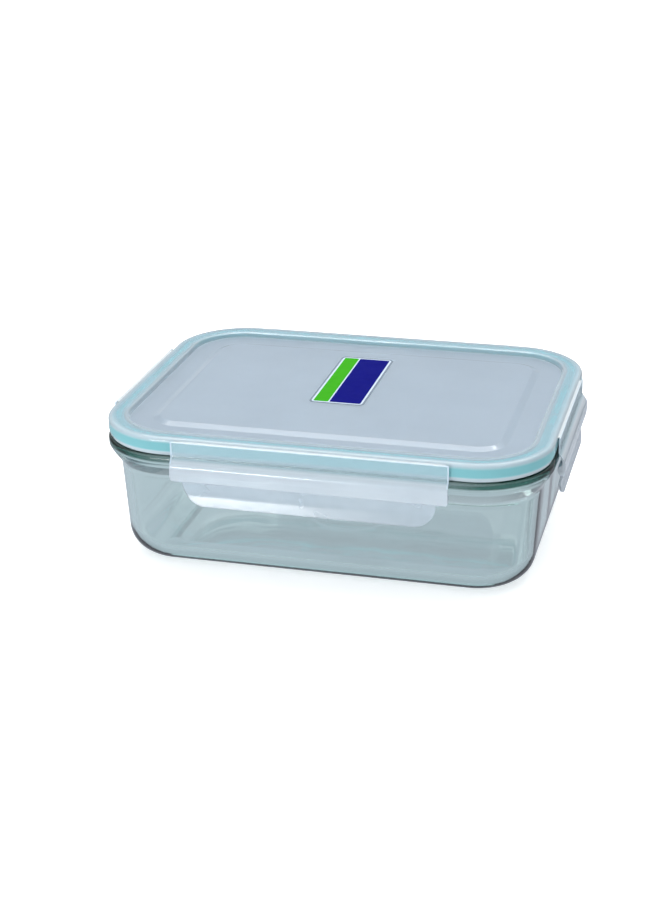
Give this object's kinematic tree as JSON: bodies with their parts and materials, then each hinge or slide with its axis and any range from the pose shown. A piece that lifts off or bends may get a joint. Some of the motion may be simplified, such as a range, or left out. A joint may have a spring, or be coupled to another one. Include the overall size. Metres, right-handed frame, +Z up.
{
  "type": "glass storage container",
  "caption": "Rectangular glass food container with a translucent clip-down lid, a silicone sealing ring and hinged side latches.",
  "frame": {"origin": "centre of the base, on the surface that the container stands on", "axes": "+Z up, +X along the long side, front latch on -Y"},
  "size_m": [0.2598, 0.2022, 0.0805],
  "materials": {
    "glass": "clear pressed glass with a faint green tint",
    "clear_plastic": "translucent satin polypropylene",
    "silicone": "satin aqua silicone",
    "label": "smooth printed film"
  },
  "bodies": {
    "container": {"glass_body": "glass"},
    "cover": {"lid": "clear_plastic", "sealing_ring": "silicone", "lid_label": "label", "front_hinge_film": "clear_plastic", "back_hinge_film": "clear_plastic", "left_hinge_film": "clear_plastic", "right_hinge_film": "clear_plastic"},
    "front_latch_body": {"front_latch": "clear_plastic"},
    "back_latch_body": {"back_latch": "clear_plastic"},
    "left_latch_body": {"left_latch": "clear_plastic"},
    "right_latch_body": {"right_latch": "clear_plastic"}
  },
  "joints": [
    {"name": "lid_lift", "type": "slide", "parent": "container", "child": "cover", "axis": [0, 0, 1], "range_m": [0, 0.1]},
    {"name": "front_latch_hinge", "type": "hinge", "parent": "cover", "child": "front_latch_body", "pos_m": [0, -0.0968, 0.0793], "axis": [-1, 0, 0], "range_deg": [-4.5, 105]},
    {"name": "back_latch_hinge", "type": "hinge", "parent": "cover", "child": "back_latch_body", "pos_m": [0, 0.0968, 0.0793], "axis": [1, 0, 0], "range_deg": [-4.5, 105]},
    {"name": "left_latch_hinge", "type": "hinge", "parent": "cover", "child": "left_latch_body", "pos_m": [-0.12555, 0, 0.0793], "axis": [0, 1, 0], "range_deg": [-4.5, 105]},
    {"name": "right_latch_hinge", "type": "hinge", "parent": "cover", "child": "right_latch_body", "pos_m": [0.12555, 0, 0.0793], "axis": [0, -1, 0], "range_deg": [-4.5, 105]}
  ]
}
